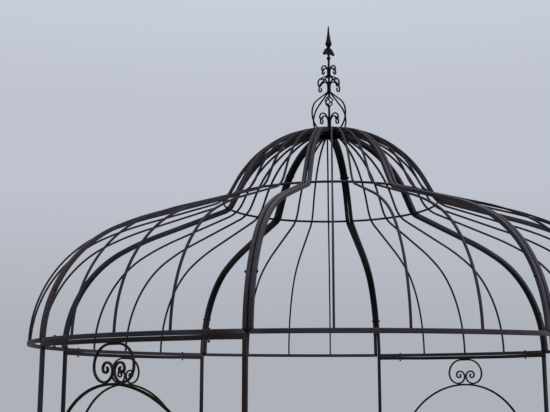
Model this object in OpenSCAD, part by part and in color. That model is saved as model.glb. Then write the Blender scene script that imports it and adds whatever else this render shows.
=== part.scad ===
/* [Overall] */
// Radius of the eaves ring, to the middle of its bar
ring_r = 2000; // [1800:10:2200]
// Height of the middle of the eaves ring above the ground
ring_z = 2050; // [1900:10:2300]

/* [Roof curve] */
// Radius of the bend where a rib turns in from the eaves
eaves_bend_r = 780; // [650:10:850]
// Slope at which the eaves bend passes into the wide bend of the belly, in degrees
eaves_slope = 26; // [24:0.5:28]
// Radius of the wide bend of the belly
belly_bend_r = 2050; // [1700:50:2300]
// Slope of the straight stretch of a rib below the neck, in degrees
belly_slope = 17.5; // [15:0.5:20]
// Radius of the hollow bend of the corner tubes at the neck
neck_bend_r = 100; // [60:5:150]
// Radius of the hollow bend of the thin ribs at the neck
thin_neck_r = 200; // [150:5:230]
// Slope of the straight stretch of a rib above the neck, in degrees
neck_slope = 62; // [56:1:64]
// Length of the corner tubes' straight stretch above the neck
neck_run = 130; // [110:5:180]
// Radius of the bend over the crown
crown_bend_r = 690; // [600:10:740]
// Distance from the axis at which the crown bend comes level
crown_level_r = 50; // [30:5:70]

/* [Tubes and bars] */
// Width of the square tube of the ribs, the eaves, the posts and the rails
tube = 25; // [20:1:30]
// Seam between the two tubes that stand side by side at each corner
seam = 2; // [1:0.5:4]
// Thickness of the thin roof ribs, the neck bars, the wall scrolls and the railing bars
thin_bar = 12; // [10:1:14]
// Angle between neighbouring thin roof ribs of one bay, in degrees
thin_rib_angle = 11; // [9.5:0.05:11.5]
// Sideways shift of the outer thin ribs of a bay towards the middle rib
thin_rib_shift = 15.5; // [0:0.5:20]
// How far the outer faces of the thin ribs lie inside the outer faces of the tubes
thin_inset = 1; // [0.5:0.5:3]
// Depth to which a welded bar sinks into what carries it
weld = 1; // [0.5:0.5:2]

/* [Crown] */
// Radius of the collar that the ribs end on
hub_r = 90; // [84:1:105]
// Wall of the collar
hub_wall = 8; // [5:1:12]
// How far the collar reaches below the ribs
hub_drop = 12; // [5:1:30]
// Radius of the cap plate that carries the finial
cap_r = 124; // [118:1:150]
// Thickness of the cap plate
cap_t = 6; // [4:1:10]

/* [Posts] */
// Width of a square foot plate
foot_w = 80; // [60:5:120]
// Thickness of a foot plate
foot_t = 6; // [4:1:12]

/* [Walls] */
// Gap between the eaves ring and the top rail of a wall
rail_gap = 3; // [1:0.5:6]
// Thickness of the arch bar
arch_bar = 14; // [12:1:18]
// Radius of the arch, to the middle of its bar
arch_r = 572; // [520:2:600]
// Radius of the first quarter turn of a wall scroll
scroll_r = 114; // [100:1:125]
// Size of each quarter turn of a wall scroll against the one before
scroll_ratio = 0.72; // [0.68:0.01:0.76]
// Number of quarter turns in a wall scroll
scroll_quarters = 7; // [5:1:8]
// Gap between the two scrolls of a pair
scroll_gap = 2; // [1:0.5:6]
// Height of the middle of the hand rail above the ground
hand_rail_z = 900; // [750:10:1000]
// Height of the middle of the bottom rail above the ground
bottom_rail_z = 100; // [60:10:200]
// Number of upright bars in a railing
railing_bars = 7; // [3:2:9]

/* [Finial] */
// Width of the square shaft
shaft = 12; // [10:1:16]
// Thickness of the cage bars and the finial scrolls
fine_bar = 9; // [6:1:10]
// Turn of the finial about the axis, in degrees
finial_turn = 32.6; // [-45:0.1:45]
// Distance from the cap plate to the underside of the basket
basket_z = 178; // [150:2:200]
// Height of the basket
basket_h = 78; // [60:2:90]
// Largest radius of the basket, to the middle of its strands
basket_r = 29; // [20:1:34]
// Turn of a basket strand from its foot to its head, in degrees
basket_twist = 200; // [120:10:270]
// Distance from the cap plate to the top of the shaft
shaft_h = 530; // [500:5:600]
// Distance from the axis to the foot of a cage bar
cage_foot_r = 111; // [100:1:116]
// Largest distance of a cage bar from the axis
cage_r = 165; // [155:1:180]
// Height above the cap plate at which the cage is widest
cage_belly_z = 104; // [85:1:115]
// Lean of a cage bar from upright where it runs straight to the shaft, in degrees
cage_lean = 52; // [46:1:58]
// Radius of the bend where a cage bar turns up along the shaft
cage_neck_r = 30; // [20:1:40]
// Radius of the bend at the head of a cage bar
cage_head_r = 40; // [34:1:44]
// Length of a cage head that lies along the sweep above it
cage_lap = 9; // [5:1:12]
// Length of a crook that lies on the shaft
crook_rise = 66; // [50:1:80]
// Radius of the bend in which a crook leaves the shaft
crook_root_r = 62; // [50:1:72]
// Angle of the bend in which a crook leaves the shaft
crook_lean = 45; // [30:5:55]
// Radius of the bend over the top of a crook
crook_r = 37; // [30:1:42]
// Radius of the hook that ends a crook and a sweep
hook_r = 13; // [11:1:16]
// Length of the straight tip of a hook
hook_tip = 9; // [6:1:14]
// Height above the cap plate at which the double curls leave the shaft
curl_z = 421; // [415:1:440]
// Length of a double curl that lies on the shaft
curl_rise = 25; // [15:1:30]
// Radius of the upper curl
curl_r = 29; // [25:1:33]
// Radius of the hook that ends the upper curl
curl_hook_r = 10; // [8:1:12]
// Radius of the bend in which a sweep leaves the shaft
sweep_root_r = 20; // [15:1:30]
// Slope at which a sweep falls away from the shaft, in degrees
sweep_slope = 28; // [20:1:35]
// Radius of the bend of a sweep
sweep_r = 45; // [38:1:52]
// Angle of the bend of a sweep, in degrees
sweep_turn = 77; // [65:1:90]
// Height of the spear above the shaft
spear_h = 256; // [230:1:290]
// Radius of the collar at the foot of the spear
spear_collar_r = 15; // [12:1:18]
// Radius of the stem of the spear
spear_stem_r = 9; // [8:1:11]
// Height of the widest part of the spear blade above the shaft
spear_blade_z = 118; // [110:1:130]
// Largest radius of the spear blade
spear_r = 25; // [18:1:28]
// Radius of the blunt tip of the spear
spear_tip_r = 4.5; // [2:0.5:6]
// Distance from the axis to the tip side of a spear leaf
leaf_reach = 48; // [42:1:56]
// Fall of a spear leaf from its root to the middle of its tip
leaf_drop = 56; // [50:1:60]
// Radius of the round shoulder of a spear leaf
leaf_shoulder_r = 12; // [10:1:14]
// Radius of the round tip of a spear leaf
leaf_tip_r = 9; // [6:1:10]
// Turn of the spear against the shaft, in degrees
spear_turn = -15.5; // [-45:0.5:45]

/* [Hidden] */
BAYS = ["right", "back_right", "back", "back_left", "left", "front_left", "front", "front_right"];
WALLED = [1, 3, 5, 7];

bay_angle = 45;
bend_step = 3;
scroll_step = 10;
hook_turn = -185;
far = 3000;

// The straight stretch of the belly takes up what the bends leave between the eaves and the crown
belly_run = (ring_r - crown_level_r
    - eaves_bend_r * (1 - sin(eaves_slope))
    - belly_bend_r * (sin(eaves_slope) - sin(belly_slope))
    - neck_bend_r * (sin(neck_slope) - sin(belly_slope))
    - neck_run * cos(neck_slope)
    - crown_bend_r * sin(neck_slope)) / cos(belly_slope);
crown_rise = eaves_bend_r * cos(eaves_slope)
    + belly_bend_r * (cos(belly_slope) - cos(eaves_slope))
    + belly_run * sin(belly_slope)
    + neck_bend_r * (cos(belly_slope) - cos(neck_slope))
    + neck_run * sin(neck_slope)
    + crown_bend_r * (1 - cos(neck_slope));
crown_z = ring_z + crown_rise;
hub_top_z = crown_z + tube / 2;
cap_top_z = hub_top_z + cap_t;

// A rib stops a little inside the collar, which then trims it
rib_end_r = hub_r * 0.8;
rib_end_slope = asin((rib_end_r - crown_level_r) / crown_bend_r);

// The steps of a rib whose middle lies outside the middle of the tubes by the lift. A wider neck bend
// takes its room from the straight stretches on both sides of it.
function rib_steps(lift, neck_r) =
    let (ease = (neck_r - neck_bend_r + lift) * tan((neck_slope - belly_slope) / 2))
    [
        [eaves_bend_r + lift, 90 - eaves_slope],
        [belly_bend_r + lift, eaves_slope - belly_slope],
        [belly_run - ease, 0],
        [neck_r, belly_slope - neck_slope],
        [neck_run - ease, 0],
        [crown_bend_r + lift, neck_slope - rib_end_slope]
    ];
thin_lift = (tube - thin_bar) / 2 - thin_inset;

// The neck bar lies under the thin ribs at the middle of their hollow bend
neck_mid_slope = (belly_slope + neck_slope) / 2;
neck_start = bar_end([ring_r + thin_lift, ring_z, 90], rib_steps(thin_lift, thin_neck_r), 3);
neck_mid = step_end(neck_start, [thin_neck_r, belly_slope - neck_mid_slope]);
neck_bar_at = beside(neck_mid, thin_bar - weld);

tube_offset = (seam + tube) / 2;
tube_face = seam / 2 + tube;
ring_under_z = ring_z - tube / 2;
top_rail_z = ring_under_z - rail_gap - tube / 2;
top_rail_under_z = top_rail_z - tube / 2;

// The scrolls of a pair come close at the middle of the bay, and their feet stand on the arch
scroll_run = scroll_r * (scroll_ratio + scroll_ratio * scroll_ratio - 1) + (thin_bar + scroll_gap) / 2;
scroll_top_z = top_rail_under_z - thin_bar / 2;
scroll_foot_x = scroll_run + scroll_r * (1 - scroll_ratio);
scroll_foot_z = scroll_top_z - scroll_r * (1 + scroll_ratio) - thin_bar / 2;
arch_outer_r = arch_r + arch_bar / 2;
arch_centre_z = scroll_foot_z - sqrt(arch_outer_r * arch_outer_r - scroll_foot_x * scroll_foot_x);
hand_rail_top_z = hand_rail_z + tube / 2;
railing_pitch = arch_r / floor(railing_bars / 2);

// Heights in the finial are measured from the cap plate
stem_r = (shaft + fine_bar) / 2;
upper_shaft_z = basket_z + basket_h;
spear_waist_z = spear_blade_z * 0.82;
cage_bend_r = (pow(cage_r - cage_foot_r, 2) + pow(cage_belly_z, 2)) / (2 * (cage_r - cage_foot_r));
cage_foot_heading = acos(cage_belly_z / cage_bend_r);

// A cage head bends over until it lies along the underside of the sweep
sweep_start = step_end([stem_r, curl_z, 270], [sweep_root_r, 90 - sweep_slope]);
cage_head_reach = stem_r + cage_head_r - sweep_start[0];
cage_head_z = sweep_start[1] - cage_head_reach * tan(sweep_slope)
    - (cage_head_r + fine_bar) / cos(sweep_slope);
sweep_run = cage_head_reach * cos(sweep_slope)
    + (sweep_start[1] - cage_head_z) * sin(sweep_slope) + cage_lap;

function turned(x, y, angle) = [x * cos(angle) - y * sin(angle), x * sin(angle) + y * cos(angle)];

// A bent bar is a list of steps: [length, 0] is a straight run, [radius, turn] is a bend to the left,
// or to the right where the turn is negative. A place on it is [x, y, heading].
function step_end(p, s) = s[1] == 0
    ? [p[0] + s[0] * cos(p[2]), p[1] + s[0] * sin(p[2]), p[2]]
    : let (side = sign(s[1]), h = p[2] + s[1])
      [p[0] + side * s[0] * (sin(h) - sin(p[2])), p[1] - side * s[0] * (cos(h) - cos(p[2])), h];

function step_places(p, s, grain) = let (n = max(1, ceil(abs(s[1]) / grain)))
    [for (i = [1:n]) step_end(p, s[1] == 0 ? s : [s[0], s[1] * i / n])];

function bar_places(p, steps, grain) = concat([p], [
    for (n = 0, q = p; n < len(steps); q = step_end(q, steps[n]), n = n + 1)
        each step_places(q, steps[n], grain)
]);

// The place at which the first n steps end
function bar_end(p, steps, n) = n == 0 ? p : step_end(bar_end(p, steps, n - 1), steps[n - 1]);

// The same places met from the other end, but for the one the line starts from
function reversed(line) = [for (i = [len(line) - 1:-1:1]) [line[i][0], line[i][1], line[i][2] + 180]];

function beside(p, d) = [p[0] - d * sin(p[2]), p[1] + d * cos(p[2])];

function bar_outline(line, width) = concat(
    [for (p = line) beside(p, width / 2)],
    [for (i = [len(line) - 1:-1:0]) beside(line[i], -width / 2)]
);

// A flat bar bent in its own plane, stood up so that x runs out from the axis and y runs up
module upright_bar(start, steps, width, grain) {
    rotate([90, 0, 0])
        linear_extrude(height = width, center = true)
            polygon(bar_outline(bar_places(start, steps, grain), width));
}

module roof_rib(width, lift, neck_r) {
    upright_bar([ring_r + lift, ring_z, 90], rib_steps(lift, neck_r), width, bend_step);
}

// A bar rolled to the circle of the building, long enough to pass both corners of a bay
module rolled_bar(radius, z, width, height, tilt = 0) {
    rotate([0, 0, -bay_angle / 2])
        translate([0, 0, z])
            rotate_extrude(angle = bay_angle)
                translate([radius, 0])
                    rotate(tilt)
                        square([width, height], center = true);
}

// Trims what lies in a bay to the faces of the tubes at its two corners
module between_tubes(face = tube_face) {
    difference() {
        children();
        for (side = [-1, 1])
            rotate([0, 0, side * bay_angle / 2])
                translate([0, side * (far / 2 - face), ring_z])
                    cube([far * 2, far, far * 2], center = true);
    }
}

module in_bay(bay) {
    rotate([0, 0, bay * bay_angle]) children();
}

// The collar's round face trims the head of a rib
module trimmed_at_hub() {
    difference() {
        children();
        translate([0, 0, crown_z - far / 10]) cylinder(r = hub_r, h = far / 5, $fn = 96);
    }
}

module corner_rib(k) {
    color("#3b3336")
        rotate([0, 0, (k + 0.5) * bay_angle])
            for (side = [-1, 1])
                trimmed_at_hub() {
                    union() {
                        translate([0, side * tube_offset, 0]) roof_rib(tube, 0, neck_bend_r);
                        translate([ring_r, side * tube_offset, ring_z - tube / 4])
                            cube([tube, tube, tube / 2], center = true);
                    }
                }
}

module roof_grid(bay) {
    color("#332d30")
        in_bay(bay)
            trimmed_at_hub()
                between_tubes() {
                    union() {
                        rolled_bar(ring_r, ring_z, tube, tube, $fn = 240);
                        rolled_bar(
                            neck_bar_at[0],
                            neck_bar_at[1],
                            thin_bar,
                            thin_bar,
                            -neck_mid_slope,
                            $fn = 240
                        );
                        for (n = [-1:1])
                            rotate([0, 0, n * thin_rib_angle])
                                translate([0, -n * thin_rib_shift, 0])
                                    roof_rib(thin_bar, thin_lift, thin_neck_r);
                    }
                }
}

// A post stands under the roof tube on the walled side of its corner
module post(k) {
    side = k % 2 == 0 ? 1 : -1;
    color("#2f282b")
        rotate([0, 0, (k + 0.5) * bay_angle])
            translate([ring_r, side * tube_offset, 0]) {
                translate([-tube / 2, -tube / 2, 0]) cube([tube, tube, ring_under_z]);
                translate([-foot_w / 2, -foot_w / 2, 0]) cube([foot_w, foot_w, foot_t]);
            }
}

module top_rail(bay) {
    color("#2f282b")
        in_bay(bay)
            between_tubes()
                rolled_bar(ring_r, top_rail_z, tube, tube, $fn = 240);
}

// The arch is cut from a tube of the building's circle, so that it follows the curve of the rails
module arch(bay) {
    leg_h = arch_centre_z - hand_rail_top_z;
    color("#3a2c28")
        in_bay(bay)
            intersection() {
                difference() {
                    cylinder(r = ring_r + arch_bar / 2, h = ring_z, $fn = 240);
                    translate([0, 0, -1]) cylinder(r = ring_r - arch_bar / 2, h = ring_z + 2, $fn = 240);
                }
                translate([ring_r / 2, 0, arch_centre_z])
                    rotate([90, 0, 90])
                        linear_extrude(height = ring_r) {
                            difference() {
                                circle(r = arch_outer_r, $fn = 180);
                                circle(r = arch_r - arch_bar / 2, $fn = 180);
                                translate([-far / 2, -far]) square(far);
                            }
                            for (side = [-1, 1])
                                translate([side * arch_r - arch_bar / 2, -leg_h])
                                    square([arch_bar, leg_h]);
                        }
            }
}

function scroll_places(start, turn) = bar_places(
    start,
    concat([[scroll_run, 0]], [for (n = [0:scroll_quarters - 1]) [scroll_r * pow(scroll_ratio, n), turn]]),
    scroll_step
);

// One bar bent both ways from the middle of the bay, flat in the plane that touches the ring there
module scrolls(bay) {
    pair = concat(reversed(scroll_places([0, 0, 180], 90)), scroll_places([0, 0, 0], -90));
    color("#2f282b")
        in_bay(bay)
            translate([ring_r, 0, scroll_top_z])
                rotate([90, 0, 90])
                    linear_extrude(height = thin_bar, center = true)
                        polygon(bar_outline(pair, thin_bar));
}

module railing(bay) {
    bar_reach = hand_rail_z - bottom_rail_z;
    color("#2f282b")
        in_bay(bay)
            between_tubes() {
                union() {
                    rolled_bar(ring_r, hand_rail_z, tube, tube, $fn = 240);
                    rolled_bar(ring_r, bottom_rail_z, tube, tube, $fn = 240);
                    for (n = [0:railing_bars - 1])
                        rotate([0, 0, asin((n - (railing_bars - 1) / 2) * railing_pitch / ring_r)])
                            translate([ring_r, 0, bottom_rail_z + bar_reach / 2])
                                cube([thin_bar, thin_bar, bar_reach], center = true);
                }
            }
}

module crown_hub() {
    color("#2f282b") {
        difference() {
            translate([0, 0, crown_z - tube / 2 - hub_drop])
                cylinder(r = hub_r, h = tube + hub_drop + weld, $fn = 96);
            translate([0, 0, crown_z - tube / 2 - hub_drop - 1])
                cylinder(r = hub_r - hub_wall, h = tube + hub_drop + 1, $fn = 96);
        }
        translate([0, 0, hub_top_z]) cylinder(r = cap_r, h = cap_t, $fn = 96);
    }
}

module on_cap(turn = 0) {
    translate([0, 0, cap_top_z]) rotate([0, 0, finial_turn + turn]) children();
}

module four_ways() {
    for (n = [0:3]) rotate([0, 0, n * 90]) children();
}

// One strand of the basket swells out from the shaft and winds about it
function strand_r(t) = shaft / 6 + (basket_r - shaft / 6) * sin(180 * t);
function strand_at(t) = concat(
    turned(strand_r(t), 0, basket_twist * t),
    [basket_z - weld * 3 + (basket_h + weld * 6) * t]
);
function unit(v) = v / norm(v);

module basket_strand(rings = 20, sides = 6) {
    skin = [
        for (i = [0:rings])
            let (
                t = i / rings,
                p = strand_at(t),
                along = unit(strand_at(min(1, t + 0.01)) - strand_at(max(0, t - 0.01))),
                out = unit(cross(along, [sin(basket_twist * t), -cos(basket_twist * t), 0])),
                across = cross(along, out)
            )
            for (j = [0:sides - 1])
                p + fine_bar / 2 * (cos(j * 360 / sides) * out + sin(j * 360 / sides) * across)
    ];
    polyhedron(
        points = skin,
        faces = concat(
            [[for (j = [0:sides - 1]) j]],
            [[for (j = [sides - 1:-1:0]) rings * sides + j]],
            [
                for (i = [0:rings - 1])
                    for (j = [0:sides - 1])
                        each [
                            [i * sides + j, (i + 1) * sides + j, i * sides + (j + 1) % sides],
                            [(i + 1) * sides + j, (i + 1) * sides + (j + 1) % sides, i * sides + (j + 1) % sides]
                        ]
            ]
        )
    );
}

module finial_shaft() {
    color("#262023")
        on_cap() {
            translate([-shaft / 2, -shaft / 2, 0]) cube([shaft, shaft, basket_z]);
            translate([-shaft / 2, -shaft / 2, upper_shaft_z]) cube([shaft, shaft, shaft_h - upper_shaft_z]);
            four_ways() basket_strand();
        }
}

// A cage bar swells out from the cap plate, leans in to the shaft and bends outwards at its head
module finial_cage() {
    straight = (cage_r - cage_bend_r * (1 - cos(cage_lean)) - stem_r
        - cage_neck_r * (1 - cos(cage_lean))) / sin(cage_lean);
    lower_steps = [
        [cage_bend_r, 90 - cage_foot_heading + cage_lean],
        [straight, 0],
        [cage_neck_r, -cage_lean]
    ];
    foot = [cage_foot_r, 0, cage_foot_heading];
    rise = cage_head_z - bar_end(foot, lower_steps, 3)[1];
    head_steps = [[rise, 0], [cage_head_r, -90 - sweep_slope], [cage_lap, 0]];
    color("#262023")
        on_cap()
            four_ways()
                upright_bar(foot, concat(lower_steps, head_steps), fine_bar, scroll_step);
}

// Four crooks round the foot of the shaft and four double curls above the cage
module finial_scrolls() {
    crook_steps = [
        [crook_rise, 0], [crook_root_r, -crook_lean], [crook_r, crook_lean - 180],
        [hook_r, hook_turn], [hook_tip, 0]
    ];
    curl_steps = [[curl_rise, 0], [curl_r, -180], [curl_hook_r, hook_turn], [hook_tip / 2, 0]];
    sweep_steps = [
        [sweep_root_r, 90 - sweep_slope], [sweep_run, 0], [sweep_r, -sweep_turn],
        [hook_r, hook_turn], [hook_tip, 0]
    ];
    double_curl = concat(
        reversed(bar_places([stem_r, curl_z, 90], curl_steps, scroll_step)),
        bar_places([stem_r, curl_z, 270], sweep_steps, scroll_step)
    );
    color("#262023")
        on_cap()
            four_ways() {
                upright_bar([stem_r, 0, 90], crook_steps, fine_bar, scroll_step);
                rotate([90, 0, 0])
                    linear_extrude(height = fine_bar, center = true)
                        polygon(bar_outline(double_curl, fine_bar));
            }
}

function arc(centre, r, from, to) =
    [for (i = [0:12]) let (a = from + (to - from) * i / 12) centre + r * [cos(a), sin(a)]];

// Two leaves droop from the neck of the spear, each with a round shoulder and a round tip
module spear_leaves() {
    top_z = spear_waist_z + weld;
    shoulder = [leaf_reach * 0.42, top_z - leaf_drop * 0.48];
    tip = [leaf_reach - leaf_tip_r, top_z - leaf_drop];
    way = tip - shoulder;
    fall = atan2(way[0], -way[1]) - asin((leaf_shoulder_r - leaf_tip_r) / norm(way));
    leaf = concat(
        [[0, top_z]],
        arc(shoulder, leaf_shoulder_r, 65, fall),
        arc(tip, leaf_tip_r, fall, -100),
        [[0, tip[1]]]
    );
    for (turn = [0, 180])
        rotate([0, 0, turn])
            rotate([90, 0, 0])
                linear_extrude(height = fine_bar, center = true)
                    polygon(leaf);
}

module finial_spear() {
    color("#262023")
        on_cap(spear_turn)
            translate([0, 0, shaft_h]) {
                rotate_extrude($fn = 48)
                    polygon([
                        [0, 0],
                        [spear_stem_r, 0],
                        [spear_collar_r, spear_collar_r * 0.4],
                        [spear_collar_r, spear_collar_r * 0.9],
                        [spear_stem_r, spear_collar_r * 1.3],
                        [spear_stem_r, spear_waist_z * 0.65],
                        [spear_stem_r * 1.4, spear_waist_z * 0.85],
                        [spear_r * 0.5, spear_waist_z],
                        [spear_r, spear_blade_z],
                        [spear_r * 0.72, spear_blade_z + (spear_h - spear_blade_z) * 0.16],
                        [spear_r * 0.36, spear_blade_z + (spear_h - spear_blade_z) * 0.53],
                        [spear_tip_r, spear_h - spear_tip_r],
                        [0, spear_h]
                    ]);
                spear_leaves();
            }
}

for (k = [0:7]) corner_rib(k);
for (b = [0:7]) roof_grid(b);
for (k = [0:7]) post(k);
for (b = WALLED) top_rail(b);
for (b = WALLED) arch(b);
for (b = WALLED) scrolls(b);
for (b = WALLED) railing(b);
crown_hub();
finial_shaft();
finial_cage();
finial_scrolls();
finial_spear();
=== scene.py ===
import math
import random

import bmesh
import bpy
from mathutils import Matrix, Vector


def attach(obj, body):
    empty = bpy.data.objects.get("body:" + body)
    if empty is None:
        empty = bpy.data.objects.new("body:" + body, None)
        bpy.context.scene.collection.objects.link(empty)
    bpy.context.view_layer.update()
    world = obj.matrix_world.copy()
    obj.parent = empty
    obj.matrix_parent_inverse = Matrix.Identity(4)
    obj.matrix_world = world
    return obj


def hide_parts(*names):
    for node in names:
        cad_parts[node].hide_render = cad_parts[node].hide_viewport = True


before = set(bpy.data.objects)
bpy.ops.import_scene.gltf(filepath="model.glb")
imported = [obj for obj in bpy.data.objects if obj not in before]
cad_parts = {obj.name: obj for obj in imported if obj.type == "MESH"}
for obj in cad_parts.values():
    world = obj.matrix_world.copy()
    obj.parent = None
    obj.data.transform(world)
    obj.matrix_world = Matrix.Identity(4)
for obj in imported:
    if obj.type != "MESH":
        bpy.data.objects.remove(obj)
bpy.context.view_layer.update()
dice = random.Random(7)

# Sizes in metres and degrees, as the solids have them
RING_R, RING_Z = 2.000, 2.050
EAVES_BEND_R, EAVES_SLOPE = 0.780, 26.0
BELLY_BEND_R, BELLY_SLOPE = 2.050, 17.5
NECK_BEND_R, THIN_NECK_R, NECK_SLOPE, NECK_RUN = 0.100, 0.200, 62.0, 0.130
CROWN_BEND_R, CROWN_LEVEL_R = 0.690, 0.050
TUBE, SEAM, THIN, WELD = 0.025, 0.002, 0.012, 0.001
THIN_ANGLE, THIN_SHIFT, THIN_INSET = 11.0, 0.0155, 0.001
HUB_R, HUB_WALL, HUB_DROP, CAP_R, CAP_T = 0.090, 0.008, 0.012, 0.124, 0.006
FOOT_W, FOOT_T = 0.080, 0.006
RAIL_GAP, ARCH_BAR, ARCH_R = 0.003, 0.014, 0.572
SCROLL_R, SCROLL_RATIO, SCROLL_QUARTERS, SCROLL_GAP = 0.114, 0.72, 7, 0.002
HAND_RAIL_Z, BOTTOM_RAIL_Z, RAILING_BARS = 0.900, 0.100, 7
SHAFT, FINE, FINIAL_TURN = 0.012, 0.009, 32.6
BASKET_Z, BASKET_H, BASKET_R, BASKET_TWIST, SHAFT_H = 0.178, 0.078, 0.029, 200.0, 0.530
CAGE_FOOT_R, CAGE_R, CAGE_BELLY_Z, CAGE_LEAN = 0.111, 0.165, 0.104, 52.0
CAGE_NECK_R, CAGE_HEAD_R, CAGE_LAP = 0.030, 0.040, 0.009
CROOK_RISE, CROOK_ROOT_R, CROOK_LEAN, CROOK_R = 0.066, 0.062, 45.0, 0.037
HOOK_R, HOOK_TURN, HOOK_TIP = 0.013, -185.0, 0.009
CURL_Z, CURL_RISE, CURL_R, CURL_HOOK_R = 0.421, 0.025, 0.029, 0.010
SWEEP_ROOT_R, SWEEP_SLOPE, SWEEP_R, SWEEP_TURN = 0.020, 28.0, 0.045, 77.0
SPEAR_H, SPEAR_COLLAR_R, SPEAR_STEM_R, SPEAR_BLADE_Z, SPEAR_R = 0.256, 0.015, 0.009, 0.118, 0.025
SPEAR_TIP_R, SPEAR_TURN = 0.0045, -15.5
LEAF_REACH, LEAF_DROP, LEAF_SHOULDER_R, LEAF_TIP_R = 0.048, 0.056, 0.012, 0.009
BAYS = ["right", "back_right", "back", "back_left", "left", "front_left", "front", "front_right"]
WALLED = [1, 3, 5, 7]
CORNERS = 8
BAY = 360 / CORNERS
UP = Vector((0, 0, 1))

# Proportions of the spear and its leaves
SPEAR_WAIST, SPEAR_SOFT, LEAF_SHOULDER = 0.82, 0.35, (0.42, 0.48)
LEAF_TOP_ANGLE, LEAF_TIP_ANGLE = 65, -100
# A leaf's outline shrinks from the middle of its thickness to its face: (how far out, size)
LEAF_SWELL = [(0.2, 1.0), (0.62, 0.92), (0.92, 0.72), (1.0, 0.5)]

# Rounded edges and taken-in ends, which only the scene has
TUBE_ROUND, THIN_ROUND, ARCH_ROUND, FINE_ROUND, SHAFT_ROUND = 0.003, 0.0012, 0.0016, 0.0014, 0.0012
COLLAR_ROUND, PLATE_ROUND = 0.0015, 0.005
WIDE_STEPS, NARROW_STEPS, OUTLINE_STEPS = 4, 2, 3
SCROLL_BEVEL, FINE_BEVEL, SHAFT_BEVEL, PLATE_BEVEL = 0.001, 0.0008, 0.0015, 0.0008
CAP_RIM = [(0.0016, 0.0), (0.0004, 0.0006), (0.0, 0.0018)]  # (in from the rim, up from the face)
CAP_AXIS_R, SPEAR_AXIS_R = 0.0005, 0.0002  # how close to the axis a turned outline starts
EDGE_REACH = 0.003  # how far wear, painted highlight and painted seam shade run onto the flat beside a seam
SCROLL_TIP_QUARTERS = 1  # the inner end turns in a little further than the solid
RIB_LAP, NECK_BAR_LAP = 0.004, 0.004  # how far these bars run on into their neighbour
SIDE_RIB_DROP = 0.0006  # how much lower the side ribs lie than the middle one

# Weld beads
BEAD_R, FINE_BEAD_R, POST_BEAD_R, SHAFT_BEAD_R, LONG_BEAD_R = 0.0018, 0.0016, 0.0025, 0.002, 0.0022
BEAD_STEP, BEAD_SIDES, BEAD_VARY = 0.006, 6, 0.25
COLLAR_BEAD_OUT, COLLAR_BEAD_DOWN, COLLAR_BEAD_ANGLE = 0.0005, 0.001, 6

# The cut at the corners of the eaves, and what keeps the eaves inside the facets of the solids
MITRE_GAP, MITRE_ROOM = 0.0004, 0.2  # the room is in degrees
EAVES_INSET, BEAD_INSET = 0.0001, 0.0016

# Bolts: (radius, height, bevel, sides), and their places along a rib and round a top rail
WASHER, HEAD = (0.0085, 0.0016, 0.0003, 20), (0.0075, 0.0055, 0.0009, 6)
NUT, STUD = (0.0075, 0.0068, 0.0009, 6), (0.004, 0.0035, 0.0006, 12)
BOLT_LOW_S, BOLT_HIGH_S, RAIL_BOLT_ANGLE = 0.306, 2.104, 16.7

# The paired tubes bow apart a little between their bolts, not the same at every corner
NECK_BOW = [0.0012, 0.0018, 0.0012, 0.0010, 0.0016, 0.0036, 0.0014, 0.0012]
FOOT_BOW = [0.0004, 0.0016, 0.0005, 0.0004, 0.0006, 0.0003, 0.0005, 0.0004]
NECK_BOW_S, FOOT_BOW_S = 1.35, -0.25
# The bolts draw the top rail up towards the eaves bar near the corners
RAIL_PULL, RAIL_PULL_ANGLE = 0.0022, 9.0

# Degrees between the places along a bend, and metres along a straight
RIB_GRAIN, NECK_BAR_GRAIN, ARCH_GRAIN, CAGE_GRAIN, CURL_GRAIN = 1.5, 2.5, 3.0, 4.0, 6.0
RIB_RUN, ARCH_RUN, POST_RUN = 0.08, 0.12, 0.3
CROWN_SIDES, SPEAR_SIDES, STRAND_SIDES = 96, 40, 10
SHAFT_STEPS, STRAND_STEPS, LEAF_STEPS = 4, 32, 12

# How much worn edge, with its painted highlight, the small forms show, from 0 to 1
SPINDLE_WEAR_AND_SHEEN, STRAND_WEAR_AND_SHEEN, LEAF_WEAR_AND_SHEEN, PRISM_WEAR_AND_SHEEN = 0.3, 0.4, 0.5, 0.6
BEVEL_WEAR_AND_SHEEN, BEAD_WEAR_AND_SHEEN = 1.0, 1.0
RUST_REACH = 0.035
NORMAL_WEIGHT = 80


def sin(a):
    return math.sin(math.radians(a))


def cos(a):
    return math.cos(math.radians(a))


def tan(a):
    return math.tan(math.radians(a))


def asin(x):
    return math.degrees(math.asin(x))


def out_at(a):
    return Vector((cos(a), sin(a), 0))


def across_at(a):
    return Vector((-sin(a), cos(a), 0))


BELLY_RUN = (
    RING_R
    - CROWN_LEVEL_R
    - EAVES_BEND_R * (1 - sin(EAVES_SLOPE))
    - BELLY_BEND_R * (sin(EAVES_SLOPE) - sin(BELLY_SLOPE))
    - NECK_BEND_R * (sin(NECK_SLOPE) - sin(BELLY_SLOPE))
    - NECK_RUN * cos(NECK_SLOPE)
    - CROWN_BEND_R * sin(NECK_SLOPE)
) / cos(BELLY_SLOPE)
CROWN_Z = (
    RING_Z
    + EAVES_BEND_R * cos(EAVES_SLOPE)
    + BELLY_BEND_R * (cos(BELLY_SLOPE) - cos(EAVES_SLOPE))
    + BELLY_RUN * sin(BELLY_SLOPE)
    + NECK_BEND_R * (cos(BELLY_SLOPE) - cos(NECK_SLOPE))
    + NECK_RUN * sin(NECK_SLOPE)
    + CROWN_BEND_R * (1 - cos(NECK_SLOPE))
)
CAP_UNDER = UP * (CROWN_Z + TUBE / 2)
CAP_TOP = UP * (CROWN_Z + TUBE / 2 + CAP_T)
RIB_END_R = HUB_R - RIB_LAP
THIN_LIFT = (TUBE - THIN) / 2 - THIN_INSET
TUBE_OFFSET, TUBE_FACE = (SEAM + TUBE) / 2, SEAM / 2 + TUBE
BAR_REACH = BAY / 2 - asin(TUBE_FACE / RING_R)
RING_BASE = UP * RING_Z
RING_UNDER_Z = RING_Z - TUBE / 2
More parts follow.
